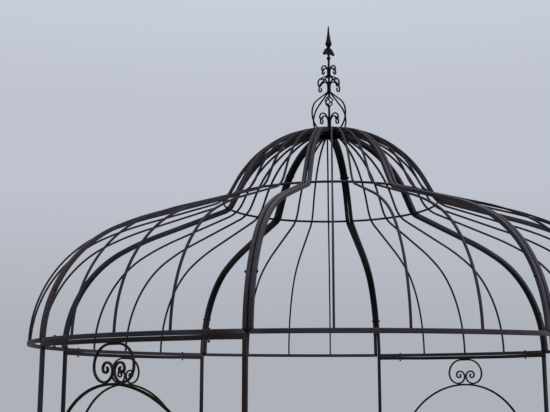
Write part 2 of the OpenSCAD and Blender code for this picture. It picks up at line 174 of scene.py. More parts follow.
TOP_RAIL_Z = RING_UNDER_Z - RAIL_GAP - TUBE / 2
HAND_RAIL_TOP_Z = HAND_RAIL_Z + TUBE / 2

SCROLL_RUN = SCROLL_R * (SCROLL_RATIO + SCROLL_RATIO**2 - 1) + (THIN + SCROLL_GAP) / 2
SCROLL_TOP_Z = TOP_RAIL_Z - TUBE / 2 - THIN / 2
SCROLL_FOOT_X = SCROLL_RUN + SCROLL_R * (1 - SCROLL_RATIO)
SCROLL_FOOT_Z = SCROLL_TOP_Z - SCROLL_R * (1 + SCROLL_RATIO) - THIN / 2
ARCH_CENTRE_Z = SCROLL_FOOT_Z - math.sqrt((ARCH_R + ARCH_BAR / 2) ** 2 - SCROLL_FOOT_X**2)
RAILING_PITCH = ARCH_R / (RAILING_BARS // 2)

ARMS = [FINIAL_TURN + 90 * n for n in range(4)]
STEM_R = (SHAFT + FINE) / 2
STRAND_ROOT_R, STRAND_LAP = SHAFT / 6, 3 * WELD

# Where the camera of the photo stood, and its lens
CAMERA_AT = (-1.2434, -6.4584, 1.7961)
CAMERA_HEADING, CAMERA_PITCH, CAMERA_ROLL = 82.47, 10.614, 0.03
FOCAL_PX, FRAME_PX, SENSOR, FURTHEST_SEEN = 953.664, 550, 36.0, 400


def make_camera():
    data = bpy.data.cameras.new("camera")
    data.sensor_width = SENSOR
    data.lens = FOCAL_PX / FRAME_PX * SENSOR
    data.clip_end = FURTHEST_SEEN
    camera = bpy.data.objects.new("camera", data)
    bpy.context.scene.collection.objects.link(camera)
    ahead = out_at(CAMERA_HEADING) * cos(CAMERA_PITCH) + UP * sin(CAMERA_PITCH)
    roll = Matrix.Rotation(math.radians(CAMERA_ROLL), 3, "Z")
    turn = ahead.to_track_quat("-Z", "Y").to_matrix() @ roll
    camera.matrix_world = Matrix.Translation(CAMERA_AT) @ turn.to_4x4()
    bpy.context.scene.camera = camera


make_camera()


class Tree:
    """Adds and links shader nodes."""

    def __init__(self, owner):
        owner.use_nodes = True
        self.tree = owner.node_tree
        self.tree.nodes.clear()

    def add(self, kind, inputs=None, **settings):
        n = self.tree.nodes.new(kind)
        for key, value in settings.items():
            setattr(n, key, value)
        for key, value in (inputs or {}).items():
            self.feed(n.inputs[key], value)
        return n

    def feed(self, socket, value):
        if isinstance(value, bpy.types.NodeSocket):
            self.tree.links.new(value, socket)
        else:
            socket.default_value = value

    def ramp(self, source, stops):
        """A ramp of (place, colour) or (place, value)."""
        n = self.add("ShaderNodeValToRGB", {"Fac": source})
        elements = n.color_ramp.elements
        while len(elements) < len(stops):
            elements.new(0.5)
        for e, (place, colour) in zip(elements, stops):
            e.position = place
            e.color = (*colour, 1) if isinstance(colour, tuple) else (colour, colour, colour, 1)
        return n.outputs["Color"]

    def mix(self, factor, a, b):
        """A colour mix. The colours are its seventh and eighth inputs and its third output."""
        n = self.add("ShaderNodeMix", data_type="RGBA")
        self.feed(n.inputs[0], factor)
        for place, value in ((6, a), (7, b)):
            self.feed(n.inputs[place], (*value, 1) if isinstance(value, tuple) else value)
        return n.outputs[2]

    def math(self, operation, *values):
        n = self.add("ShaderNodeMath", operation=operation)
        for place, value in enumerate(values):
            self.feed(n.inputs[place], value)
        return n.outputs[0]

    def noise(self, where, scale, detail, rough):
        inputs = {"Vector": where, "Scale": scale, "Detail": detail, "Roughness": rough}
        return self.add("ShaderNodeTexNoise", inputs).outputs["Fac"]

    def attribute(self, name):
        return self.add("ShaderNodeAttribute", attribute_name=name).outputs["Fac"]

    def upward(self, vector):
        """The Z of a vector."""
        return self.add("ShaderNodeSeparateXYZ", {"Vector": vector}).outputs["Z"]


# Paint: noises as (scale, detail, roughness)
CLOUD_NOISE, PATCH_NOISE = (2.6, 5.0, 0.6), (14.0, 6.0, 0.7)
GRAIN_NOISE, STAIN_NOISE = (170.0, 3.0, 0.6), (0.9, 4.0, 0.6)
CLOUD_PLACES = (0.32, 0.5, 0.7)  # where the paint is deep, plain and pale
# The share of a second colour over a noise, or over a facing: 0 down, 0.5 level, 1 up
GRAIN_STOPS, STAIN_STOPS = [(0.52, 0.0), (0.72, 0.5)], [(0.42, 0.0), (0.62, 0.7)]
# rubbed edges are wear with a painted highlight
RUBBED_AND_SHEEN_STOPS, RUST_STOPS = [(0.42, 0.15), (0.62, 1.0)], [(0.63, 0.0), (0.74, 1.0)]
# undersides take painted shade; upward faces take dust with painted sky light
UNDERSIDE_SHADE_STOPS, DUST_AND_SKY_LIGHT_STOPS = [(0.1, 0.85), (0.45, 0.0)], [(0.6, 0.0), (0.95, 0.6)]
# how much the worn edge with its painted highlight shows, how much the painted seam shade shows,
# and the rust at joints
WORN_AND_SHEEN_SHARE, SEAM_SHADE_SHARE, RUST_AT_JOINTS = 0.75, 0.8, 0.22
# The second colours, as shares of the base colour
DEEP, PALE, PALE_LIFT, BROWN = 0.62, 1.55, 0.003, (0.95, 0.72, 0.62)
# painted shade on undersides, towards the crown and in the seams; dust with painted sky light on
# top
UNDERSIDE_SHADE, CROWN_SHADE, SEAM_SHADE, DUST_AND_SKY_LIGHT = 0.2, 0.3, 0.12, (1.62, 1.54, 1.72)
# where the painted shade towards the crown begins and where it is full
CROWN_SHADE_LOW_Z, CROWN_SHADE_HIGH_Z = 3.20, 3.48
CLOUD_ROUGH, RUST_ROUGH, PATCH_HEIGHT = 0.3, 0.25, 0.5
SPECULAR, RELIEF, RELIEF_DEPTH = 0.03, 0.35, 0.0008


def painted_iron(name, base, wear_and_sheen, rust, rough=0.48, rusting=0.35, crown_shade=0.0):
    """Dark mottled paint on iron, with brown stains, rust near welds and bolts, rubbed edges with
    wear and a painted highlight, dust and painted sky light on top, painted shade on the undersides
    and in the seams. The last argument is how far painted shade darkens it up to the crown, where
    the bars stand close together."""

    def shade(share, lift=0.0):
        return tuple(c * share + lift for c in base)

    m = bpy.data.materials.new(name)
    t = Tree(m)
    where = t.add("ShaderNodeTexCoord").outputs["Object"]
    cloud = t.noise(where, *CLOUD_NOISE)
    patch = t.noise(where, *PATCH_NOISE)
    grain = t.noise(where, *GRAIN_NOISE)
    stain = t.noise(where, *STAIN_NOISE)
    # the edge values: above 0 wear with a painted highlight, below 0 painted shade in a seam
    edge = t.attribute("edge")
    seam_shade = t.math("MULTIPLY", t.math("MINIMUM", edge, 0.0), -SEAM_SHADE_SHARE)
    edge = t.math("MAXIMUM", edge, 0.0)

    pale = shade(PALE, PALE_LIFT)
    colour = t.ramp(cloud, list(zip(CLOUD_PLACES, (shade(DEEP), base, pale))))
    colour = t.mix(t.ramp(grain, GRAIN_STOPS), colour, pale)
    brown = tuple(c * k for c, k in zip(base, BROWN))
    colour = t.mix(t.ramp(stain, STAIN_STOPS), colour, brown)
    # rubbed edges lighter: wear, with a painted highlight
    rubbed_and_sheen = t.math("MULTIPLY", edge, t.ramp(patch, RUBBED_AND_SHEEN_STOPS))
    colour = t.mix(t.math("MULTIPLY", rubbed_and_sheen, WORN_AND_SHEEN_SHARE), colour, wear_and_sheen)
    spots = t.math("MULTIPLY_ADD", t.attribute("joint"), RUST_AT_JOINTS, patch)
    spots = t.ramp(spots, RUST_STOPS)
    colour = t.mix(t.math("MULTIPLY", spots, rusting), colour, rust)

    facing = t.upward(t.add("ShaderNodeNewGeometry").outputs["Normal"])
    facing = t.math("MULTIPLY_ADD", facing, 0.5, 0.5)
    # painted shade on the undersides
    colour = t.mix(t.ramp(facing, UNDERSIDE_SHADE_STOPS), colour, shade(UNDERSIDE_SHADE))
    # upward faces lighter: dust, with painted sky light
    grey = sum(base) / 3
    colour = t.mix(t.ramp(facing, DUST_AND_SKY_LIGHT_STOPS), colour, tuple(grey * k for k in DUST_AND_SKY_LIGHT))
    # painted shade, growing up towards the crown, where the bars stand close together
    if crown_shade:
        span = CROWN_SHADE_HIGH_Z - CROWN_SHADE_LOW_Z
        rise = t.math("MULTIPLY_ADD", t.upward(where), 1 / span, -CROWN_SHADE_LOW_Z / span)
        colour = t.mix(t.ramp(rise, [(0.0, 0.0), (1.0, crown_shade)]), colour, shade(CROWN_SHADE))
    # painted shade in the seams between the paired tubes
    colour = t.mix(seam_shade, colour, shade(SEAM_SHADE))

    dull = t.math("MULTIPLY_ADD", cloud, CLOUD_ROUGH, rough - CLOUD_ROUGH / 2)
    dull = t.math("MULTIPLY_ADD", spots, RUST_ROUGH, dull)
    height = t.math("MULTIPLY_ADD", patch, PATCH_HEIGHT, grain)
    relief = {"Height": height, "Strength": RELIEF, "Distance": RELIEF_DEPTH}
    normal = t.add("ShaderNodeBump", relief).outputs["Normal"]
    surface = {"Base Color": colour, "Roughness": dull, "Normal": normal}
    bsdf = t.add("ShaderNodeBsdfPrincipled", {**surface, "Specular IOR Level": SPECULAR})
    t.add("ShaderNodeOutputMaterial", {"Surface": bsdf.outputs["BSDF"]})
    return m


# Each paint: its base, its worn edges with their painted highlight, and its rust
# the roof paint darkens towards the crown with painted shade
ROOF = painted_iron(
    "roof_paint", (0.040, 0.038, 0.048), (0.085, 0.080, 0.092), (0.040, 0.022, 0.020), crown_shade=0.65
)
RIB = painted_iron(
    "rib_paint", (0.023, 0.0235, 0.031), (0.055, 0.055, 0.064), (0.036, 0.020, 0.018)
)
WALL = painted_iron(
    "wall_paint", (0.024, 0.020, 0.023), (0.060, 0.050, 0.050), (0.046, 0.022, 0.014)
)
ARCH = painted_iron(
    "arch_paint", (0.011, 0.007, 0.004), (0.030, 0.021, 0.014), (0.032, 0.015, 0.008)
)
FINIAL = painted_iron(
    "finial_paint", (0.008, 0.008, 0.011), (0.020, 0.020, 0.025), (0.018, 0.011, 0.008)
)
BOLT = painted_iron(
    "bolt_paint",
    (0.018, 0.015, 0.018),
    (0.060, 0.046, 0.042),
    (0.060, 0.028, 0.018),
    rough=0.42,
    rusting=0.6,
)


def square_section(size, radius, steps, seam_side=0):
    """The outline of a square bar with rounded edges: (u, v, edge) with edge 1 at the middle of
    each rounding, for wear with a painted highlight. On the side that faces a seam it is -1 from
    one rounding to the other, for painted shade in the seam."""
    out = []
    for cx, cy, start in ((1, 1, 0), (-1, 1, 90), (-1, -1, 180), (1, -1, 270)):
        for i in range(steps + 1):
            a = start + 90 * i / steps
            u = cx * (size / 2 - radius) + radius * cos(a)
            v = cy * (size / 2 - radius) + radius * sin(a)
            out.append((u, v, -1 if cx == seam_side else 1 - abs(2 * i / steps - 1)))
            if seam_side and (i == steps) == (cx == cy) and i in (0, steps):
                # one more point on the flat beside the rounding keeps the painted seam shade and
                # the wear with its painted highlight narrow
                out.insert(len(out) - (i == 0), (u - cx * EDGE_REACH, v, 0.0))
    return out


def round_section(radius, sides):
    angles = [360 * j / sides for j in range(sides)]
    return [(radius * cos(a), radius * sin(a), STRAND_WEAR_AND_SHEEN) for a in angles]


TUBE_SECTION = square_section(TUBE, TUBE_ROUND, WIDE_STEPS)
PAIR_SECTIONS = {side: square_section(TUBE, TUBE_ROUND, WIDE_STEPS, -side) for side in (-1, 1)}
THIN_SECTION = square_section(THIN, THIN_ROUND, NARROW_STEPS)
ARCH_SECTION = square_section(ARCH_BAR, ARCH_ROUND, NARROW_STEPS)
FINE_SECTION = square_section(FINE, FINE_ROUND, NARROW_STEPS)
SHAFT_SECTION = square_section(SHAFT, SHAFT_ROUND, NARROW_STEPS)
PLATE_SECTION = square_section(FOOT_W, PLATE_ROUND, WIDE_STEPS)
STRAND_SECTION = round_section(FINE / 2, STRAND_SIDES)


class Mesh:
    """Gathers closed shells, each with an edge value per point, into one piece."""

    def __init__(self):
        self.points, self.faces, self.edges = [], [], []

    def rings(self, rings, wear_and_sheen, closed=False):
        """Joins rings of points into a shell, with a flat face at each end unless it closes on
        itself. Its edge values, one for each point, give wear with a painted highlight above 0 and
        painted shade in a seam below 0."""
        first, n, count = len(self.points), len(rings[0]), len(rings)
        for i in range(count if closed else count - 1):
            here, there = first + i * n, first + (i + 1) % count * n
            for j in range(n):
                k = (j + 1) % n
                self.faces.append((here + j, here + k, there + k, there + j))
        if not closed:
            self.faces.append(tuple(first + j for j in range(n - 1, -1, -1)))
            self.faces.append(tuple(first + (count - 1) * n + j for j in range(n)))
        self.points += [q for ring in rings for q in ring]
        self.edges += [e for ring in wear_and_sheen for e in ring]

    def sweep(self, places, section, bevel=0.0, ends=None):
        """Sweeps a section along places, each (point, u axis, v axis). A bevel takes the ends in a
        little. Where ends is given, it moves each point of the first and the last ring:
        ends(which, point, u, v)."""
        rings = [[p + u * a + v * b for a, b, _ in section] for p, u, v in places]
        wear_and_sheen = [[e for _, _, e in section] for _ in places]
        if ends:
            for at in (0, -1):
                rings[at] = [ends(at, q, a, b) for q, (a, b, _) in zip(rings[at], section)]
        if bevel:
            size = max(abs(a) for a, _, _ in section)
            k = 1 - bevel / size
            for at, inward in ((0, 1), (-1, -2)):
                p, u, v = places[at]
                back = (places[inward][0] - p).normalized() * bevel
                tip = [p + u * a * k + v * b * k for a, b, _ in section]
                rings[at] = [q + back for q in rings[at]]
                place = 0 if at == 0 else len(rings)
                rings.insert(place, tip)
                wear_and_sheen.insert(place, [BEVEL_WEAR_AND_SHEEN] * len(section))
        self.rings(rings, wear_and_sheen)

    def bead(self, centres, radius, closed=True):
        """A weld bead along a line of centres."""
        n = len(centres)
        middle = sum(centres, Vector()) / n
        angles = [360 * j / BEAD_SIDES for j in range(BEAD_SIDES)]
        rings = []
        for i, c in enumerate(centres):
            after = centres[(i + 1) % n] if closed else centres[min(i + 1, n - 1)]
            before = centres[i - 1] if closed else centres[max(i - 1, 0)]
            along = (after - before).normalized()
            out = (c - middle).normalized() if closed else along.orthogonal().normalized()
            up = along.cross(out).normalized()
            r = radius * dice.uniform(1 - BEAD_VARY, 1 + BEAD_VARY)
            rings.append([c + (out * cos(a) + up * sin(a)) * r for a in angles])
        self.rings(rings, [[BEAD_WEAR_AND_SHEEN] * BEAD_SIDES] * n, closed)

    def square_bead(self, centre, u, v, width, height, radius=BEAD_R):
        """A bead round the foot of a square bar that stands on a face."""
        corners = [(1, 1), (-1, 1), (-1, -1), (1, -1)]
        line = []
        for (a, b), (c, d) in zip(corners, corners[1:] + corners[:1]):
            long = width if a != c else height
            n = max(2, round(long / BEAD_STEP))
            for i in range(n):
                k = i / n
                x, y = (a + (c - a) * k) * width / 2, (b + (d - b) * k) * height / 2
                line.append(centre + u * x + v * y)
        self.bead(line, radius)

    def lathe(self, profile, edges, steps, base):
        """Turns a closed outline of (radius, height) about the upright axis through base."""
        rings = []
        for i in range(steps):
            out = out_at(360 * i / steps)
            rings.append([base + out * r + UP * z for r, z in profile])
        self.rings(rings, [edges] * steps, closed=True)

    def spindle(self, profile, steps, base):
        """Turns an open outline of (radius, height) that starts and ends close to the axis into a
        closed shell."""
        outs = [out_at(360 * j / steps) for j in range(steps)]
        rings = [[base + out * r + UP * z for out in outs] for r, z in profile]
        self.rings(rings, [[SPINDLE_WEAR_AND_SHEEN] * steps] * len(rings))

    def prism(self, base, axis, across, shape, turn=0.0):
        """A prism of (radius, height, bevel, sides) from base along axis, its rims taken in."""
        radius, height, bevel, sides = shape
        side = axis.cross(across).normalized()
        angles = [turn + 360 * j / sides for j in range(sides)]
        spokes = [across * cos(a) + side * sin(a) for a in angles]
        rows = [(radius - bevel, 0.0), (radius, bevel)]
        rows += [(radius, height - bevel), (radius - bevel, height)]
        rings = [[base + axis * h + spoke * r for spoke in spokes] for r, h in rows]
        self.rings(rings, [[PRISM_WEAR_AND_SHEEN] * sides] * len(rows))

    def piece(self, name, material, replaces=()):
        mesh = bpy.data.meshes.new(name)
        mesh.from_pydata([tuple(p) for p in self.points], [], self.faces)
        bm = bmesh.new()
        bm.from_mesh(mesh)
        bmesh.ops.recalc_face_normals(bm, faces=bm.faces)
        bm.to_mesh(mesh)
        bm.free()
        joints = [near_joint(p) for p in self.points]
        for key, values in (("edge", self.edges), ("joint", joints)):
            mesh.attributes.new(key, "FLOAT", "POINT").data.foreach_set("value", values)
        mesh.materials.append(material)
        mesh.polygons.foreach_set("use_smooth", [True] * len(mesh.polygons))
        ob = bpy.data.objects.new(name, mesh)
        bpy.context.scene.collection.objects.link(ob)
        fair = ob.modifiers.new("face_weighted_normals", "WEIGHTED_NORMAL")
        fair.weight = NORMAL_WEIGHT
        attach(ob, "root")
        if replaces:
            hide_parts(*replaces)


def step_end(p, step):
    """Where a run (length, 0) or a bend (radius, turn) ends that starts at (x, y, heading)."""
    x, y, h = p
    size, turn = step
    if turn == 0:
        return (x + size * cos(h), y + size * sin(h), h)
    side = 1 if turn > 0 else -1
    along, up = sin(h + turn) - sin(h), cos(h + turn) - cos(h)
    return (x + side * size * along, y - side * size * up, h + turn)


def bar_end(p, steps):
    for step in steps:
        p = step_end(p, step)
    return p


def bar_places(start, steps, grain, run=RIB_RUN):
    """Places (x, y, heading, way gone) along runs (length, 0) and bends (radius, turn)."""
    out, p, gone = [(*start, 0.0)], start, 0.0
    for size, turn in steps:
        long = size if turn == 0 else size * math.radians(abs(turn))
        n = max(1, math.ceil(long / run if turn == 0 else abs(turn) / grain))
        for i in range(1, n + 1):
            part = (size * i / n, 0) if turn == 0 else (size, turn * i / n)
            out.append((*step_end(p, part), gone + long * i / n))
        p, gone = step_end(p, (size, turn)), gone + long
    return out


def upright(line, azimuth, base, side_shift=None):
    """Places in the upright plane through base at an azimuth, for a line in (out, up)."""
    out, across = out_at(azimuth), across_at(azimuth)
    found = []
    for x, y, h, s in line:
        p = base + out * x + UP * y + across * (side_shift(s) if side_shift else 0)
        found.append((p, across, UP * cos(h) - out * sin(h)))
    return found


def rolled(radius, z, start, end, grain=RIB_GRAIN, lift=None, tilt=0.0):
    """Places along a level arc about the axis, from one azimuth to another."""
    n = max(1, math.ceil(abs(end - start) / grain))
    found = []
    for i in range(n + 1):
        a = start + (end - start) * i / n
        out = out_at(a)
        p = out * radius + UP * (z + (lift(a) if lift else 0))
        found.append((p, out * cos(tilt) + UP * sin(tilt), UP * cos(tilt) - out * sin(tilt)))
    return found


def rib_steps(lift, neck_r):
    """The runs and bends of a rib from the eaves to the collar, that far outside a corner tube."""
    end_slope = asin((RIB_END_R - CROWN_LEVEL_R) / (CROWN_BEND_R + lift))
    ease = (neck_r - NECK_BEND_R + lift) * tan((NECK_SLOPE - BELLY_SLOPE) / 2)
    return [
        (EAVES_BEND_R + lift, 90 - EAVES_SLOPE),
        (BELLY_BEND_R + lift, EAVES_SLOPE - BELLY_SLOPE),
        (BELLY_RUN - ease, 0),
        (neck_r, BELLY_SLOPE - NECK_SLOPE),
        (NECK_RUN - ease, 0),
        (CROWN_BEND_R + lift, NECK_SLOPE - end_slope),
    ]


def rib_line(lift, neck_r):
    return bar_places((RING_R + lift, 0.0, 90.0), rib_steps(lift, neck_r), RIB_GRAIN)


RIB_LINE = rib_line(0, NECK_BEND_R)
THIN_LINE = rib_line(THIN_LIFT, THIN_NECK_R)
THIN_SIDE_LINE = rib_line(THIN_LIFT - SIDE_RIB_DROP, THIN_NECK_R)


def rib_place(s):
    """A place on a corner tube, that far along it: (distance from the axis, height)."""
    x, y, _, _ = min(RIB_LINE, key=lambda p: abs(p[3] - s))
    return x, RING_Z + y


def bay_point(mid, side, z):
    """A point on the building's circle, that far to the side of the middle of a bay."""
    return out_at(mid) * math.sqrt(RING_R**2 - side**2) + across_at(mid) * side + UP * z


def list_joints():
    """Where welds and bolts are, for the rust in the paint."""
    found = []
    for k in range(CORNERS):
        for n in (-1, 0, 1):
            a = k * BAY + n * THIN_ANGLE
            found.append(out_at(a) * RING_R + UP * (RING_Z + TUBE / 2))
        out = out_at((k + 0.5) * BAY)
        found.append(out * RING_R + RING_BASE)
        found.append(out * RING_R)
        for s in (BOLT_LOW_S, BOLT_HIGH_S):
            x, z = rib_place(s)
            found.append(out * x + UP * z)
    for mid in (bay * BAY for bay in WALLED):
        for side in (-1, 1):
            found.append(out_at(mid + side * RAIL_BOLT_ANGLE) * RING_R + UP * RING_UNDER_Z)
            found.append(bay_point(mid, side * ARCH_R, HAND_RAIL_TOP_Z))
            found.append(bay_point(mid, side * SCROLL_FOOT_X, SCROLL_FOOT_Z))
            corner = out_at(mid + side * BAY / 2) * RING_R
            found += [corner + UP * HAND_RAIL_Z, corner + UP * BOTTOM_RAIL_Z]
    return found


JOINTS = list_joints()


def near_joint(p):
    """1 at a weld or a bolt, and less and less away from it."""
    d = min((p - q).length_squared for q in JOINTS)
    return math.exp(-d / RUST_REACH**2)


def smooth_bump(s, low, high):
    """0 outside low and high, and 1 midway between them."""
    if not low < s < high:
        return 0.0
    return math.sin(math.pi * (s - low) / (high - low)) ** 2


def corner_ribs():
    for k in range(CORNERS):
        m = Mesh()
        for side in (-1, 1):

            def shift(s, side=side, k=k):
                neck = NECK_BOW[k] * smooth_bump(s, NECK_BOW_S, BOLT_HIGH_S)
                foot = FOOT_BOW[k] * smooth_bump(s, FOOT_BOW_S, BOLT_LOW_S)
                return side * (TUBE_OFFSET + neck + foot)

            def mitre(at, q, du, dv, side=side):
                # the foot is cut at 45 degrees, down to the underside of the eaves bar at the seam
                return q + UP * (du * side) if at == 0 else q

            places = upright(RIB_LINE, (k + 0.5) * BAY, RING_BASE, shift)
            m.sweep(places, PAIR_SECTIONS[side], ends=mitre)
        m.piece(f"corner_tubes_{k + 1}", ROOF, [f"corner_rib_{k + 1}"])


def eaves_bar(mid, label):
    def mitre(at, q, du, dv):
        # the end leans under the foot of the corner tube, as far as the seam
        side = 1 if at == 0 else -1
        radius = RING_R - EAVES_INSET + du
        a = mid - side * BAY / 2 + side * asin((TUBE_OFFSET + dv + MITRE_GAP) / radius)
        return out_at(a) * radius + UP * q.z

    m = Mesh()
    half = BAR_REACH - MITRE_ROOM
    places = rolled(RING_R - EAVES_INSET, RING_Z, mid - half, mid + half)
    m.sweep(places, TUBE_SECTION, ends=mitre)
    m.piece(f"eaves_bar_{label}", ROOF, [f"roof_grid_{label}"])


def thin_ribs(mid, label):
    m = Mesh()
    for n in (-1, 0, 1):
        a = mid + n * THIN_ANGLE
        out, across = out_at(a), across_at(a)
        base = RING_BASE - across * n * THIN_SHIFT
        m.sweep(upright(THIN_SIDE_LINE if n else THIN_LINE, a, base), THIN_SECTION)
        foot = base + out * (RING_R + THIN_LIFT - BEAD_INSET / 2) + UP * (TUBE / 2)
        m.square_bead(foot, across, out, THIN, THIN - BEAD_INSET)
    m.piece(f"thin_ribs_{label}", RIB)


def neck_bar(mid, label):
    """The level bar under the thin ribs, half way round their bend at the neck."""
    to_neck = rib_steps(THIN_LIFT, THIN_NECK_R)[:3]
    half_bend = (THIN_NECK_R, (BELLY_SLOPE - NECK_SLOPE) / 2)
    x, z, h = bar_end((RING_R + THIN_LIFT, RING_Z, 90), to_neck + [half_bend])
    radius, height = x - (THIN - WELD) * sin(h), z + (THIN - WELD) * cos(h)
    half = BAY / 2 - asin((TUBE_FACE - NECK_BAR_LAP) / radius)
    tilt = -(BELLY_SLOPE + NECK_SLOPE) / 2
    m = Mesh()
    m.sweep(rolled(radius, height, mid - half, mid + half, NECK_BAR_GRAIN, tilt=tilt), THIN_SECTION)
    m.piece(f"neck_bar_{label}", RIB)


def top_rail(mid, label):
    def lift(a):
        off = (abs(a - mid) - RAIL_PULL_ANGLE) / (RAIL_BOLT_ANGLE - RAIL_PULL_ANGLE)
        return RAIL_PULL * min(1.0, max(0.0, off)) ** 2

    m = Mesh()
    places = rolled(RING_R, TOP_RAIL_Z, mid - BAR_REACH, mid + BAR_REACH, lift=lift)
    m.sweep(places, TUBE_SECTION)
    m.piece(f"top_rail_bar_{label}", WALL, [f"top_rail_{label}"])


def arch(mid, label):
    leg = ARCH_CENTRE_Z - HAND_RAIL_TOP_Z
    steps = [(leg, 0), (ARCH_R, 180), (leg, 0)]
    places = []
    for x, y, h, _ in bar_places((ARCH_R, HAND_RAIL_TOP_Z, 90.0), steps, ARCH_GRAIN, ARCH_RUN):
        a = mid + asin(x / RING_R)
        out = out_at(a)
        along = across_at(a) * cos(h) + UP * sin(h)
        places.append((out * RING_R + UP * y, out, along.cross(out)))
    m = Mesh()
    m.sweep(places, ARCH_SECTION)
    for side in (-1, 1):
        foot = bay_point(mid, side * ARCH_R, HAND_RAIL_TOP_Z)
        a = mid + asin(side * ARCH_R / RING_R)
        m.square_bead(foot, across_at(a), out_at(a), ARCH_BAR, ARCH_BAR)
    m.piece(f"arch_bar_{label}", ARCH, [f"arch_{label}"])


def scrolls(mid, label):
    """A pair of scrolls bent from one bar, from the inner end of one to that of the other."""
    quarters = range(SCROLL_QUARTERS + SCROLL_TIP_QUARTERS)
    steps = [(SCROLL_RUN, 0)] + [(SCROLL_R * SCROLL_RATIO**n, -90) for n in quarters]
    line = bar_places((0.0, 0.0, 0.0), steps, CURL_GRAIN)
    whole = [(x, y, h + 180) for x, y, h, _ in line[:0:-1]]
    whole += [(-x, y, 180 - h) for x, y, h, _ in line]
    out, across = out_at(mid), across_at(mid)
    places = []
    for x, y, h in whole:
        p = out * RING_R + across * x + UP * (SCROLL_TOP_Z + y)
        along = across * cos(h) + UP * sin(h)
        places.append((p, out, along.cross(out)))
    m = Mesh()
    m.sweep(places, THIN_SECTION, bevel=SCROLL_BEVEL)
    for side in (-1, 1):
        foot = out * RING_R + across * side * SCROLL_FOOT_X + UP * SCROLL_FOOT_Z
        for face in (1, -1):
            line = [foot + across * n * BEAD_STEP + out * face * THIN / 2 for n in (-1, 0, 1)]
            m.bead(line, LONG_BEAD_R, closed=False)
    m.piece(f"scroll_bars_{label}", WALL, [f"scrolls_{label}"])


def railing(mid, label):
    m = Mesh()
    for z in (HAND_RAIL_Z, BOTTOM_RAIL_Z):
        m.sweep(rolled(RING_R, z, mid - BAR_REACH, mid + BAR_REACH), TUBE_SECTION)
    m.piece(f"railing_rails_{label}", WALL, [f"railing_{label}"])

    m = Mesh()
    low, high = BOTTOM_RAIL_Z + TUBE / 2, HAND_RAIL_Z - TUBE / 2
    for n in range(RAILING_BARS):
        a = mid + asin((n - (RAILING_BARS - 1) / 2) * RAILING_PITCH / RING_R)
        out, across = out_at(a), across_at(a)
        heights = (low - WELD, (low + high) / 2, high + WELD)
        m.sweep([(out * RING_R + UP * z, out, across) for z in heights], THIN_SECTION)
        for z in (low, high):
            m.square_bead(out * RING_R + UP * z, out, across, THIN, THIN, FINE_BEAD_R)
    m.piece(f"railing_uprights_{label}", WALL)


def posts():
    for k in range(CORNERS):
        a = (k + 0.5) * BAY
        side = 1 if k % 2 == 0 else -1
        out, across = out_at(a), across_at(a)
        at = out * RING_R + across * side * TUBE_OFFSET
        steps = range(1, math.ceil(RING_UNDER_Z / POST_RUN))
        heights = [FOOT_T - WELD] + [POST_RUN * i for i in steps] + [RING_UNDER_Z]
        m = Mesh()
        m.sweep([(at + UP * z, out, across) for z in heights], TUBE_SECTION)
        plate = [(at + UP * z, out, across) for z in (0.0, FOOT_T / 2, FOOT_T)]
        m.sweep(plate, PLATE_SECTION, bevel=PLATE_BEVEL)
        m.square_bead(at + UP * FOOT_T, out, across, TUBE, TUBE, POST_BEAD_R)
        m.piece(f"post_tube_{k + 1}", WALL, [f"post_{k + 1}"])


def bolt(m, at, axis, across, grip):
    """A bolt through the work: washer and head on one side, washer, nut and the bolt's end on the
    other."""
    turn = dice.uniform(0, 360 / HEAD[3])
    for side, top in ((1, HEAD), (-1, NUT)):
        out = axis * side
        face = at + out * grip / 2
        m.prism(face, out, across, WASHER)
        m.prism(face + out * WASHER[1], out, across, top, turn)
        if top is NUT:
            m.prism(face + out * (WASHER[1] + NUT[1]), out, across, STUD)


def bolts():
    for k in range(CORNERS):
        out, across = out_at((k + 0.5) * BAY), across_at((k + 0.5) * BAY)
        m = Mesh()
        for s in (BOLT_LOW_S, BOLT_HIGH_S):
            x, z = rib_place(s)
            bolt(m, out * x + UP * z, across, out, 2 * TUBE_FACE)
        m.piece(f"rib_bolts_{k + 1}", BOLT)
    for bay in WALLED:
        m = Mesh()
        for side in (-1, 1):
            out = out_at(bay * BAY + side * RAIL_BOLT_ANGLE)
            at = out * RING_R + UP * (RING_UNDER_Z - RAIL_GAP / 2)
            bolt(m, at, UP, out, 2 * TUBE + RAIL_GAP)
        m.piece(f"rail_bolts_{BAYS[bay]}", BOLT)


def rounded_outline(corners, radius):
    """A closed outline of (radius, height) corners, each one rounded: points and edge values."""
    points, edges = [], []
    n = len(corners)
    for i in range(n):
        p = Vector(corners[i])
        before, after = Vector(corners[i - 1]) - p, Vector(corners[(i + 1) % n]) - p
        b, c = before.normalized() * radius, after.normalized() * radius
        for j in range(OUTLINE_STEPS + 1):
            k = j / OUTLINE_STEPS
            q = p + b * (1 - k) ** 2 + c * k**2
            points.append((q.x, q.y))
            edges.append(1 - abs(2 * k - 1))
    return points, edges


def crown():
    m = Mesh()
    foot, inner = -TUBE - HUB_DROP, HUB_R - HUB_WALL
    corners = [(HUB_R, foot), (HUB_R, 0.0), (inner, 0.0), (inner, foot)]
    m.lathe(*rounded_outline(corners, COLLAR_ROUND), CROWN_SIDES, CAP_UNDER)
    around, down = range(0, 360, COLLAR_BEAD_ANGLE), UP * COLLAR_BEAD_DOWN
    line = [CAP_UNDER + out_at(a) * (HUB_R + COLLAR_BEAD_OUT) - down for a in around]
    m.bead(line, LONG_BEAD_R)
    m.piece("crown_collar", FINIAL, ["crown_hub"])

    m = Mesh()
    under = [(CAP_AXIS_R, 0.0)] + [(CAP_R - x, y) for x, y in CAP_RIM]
    m.spindle(under + [(r, CAP_T - z) for r, z in under[::-1]], CROWN_SIDES, CAP_UNDER)
    m.piece("crown_cap", FINIAL)


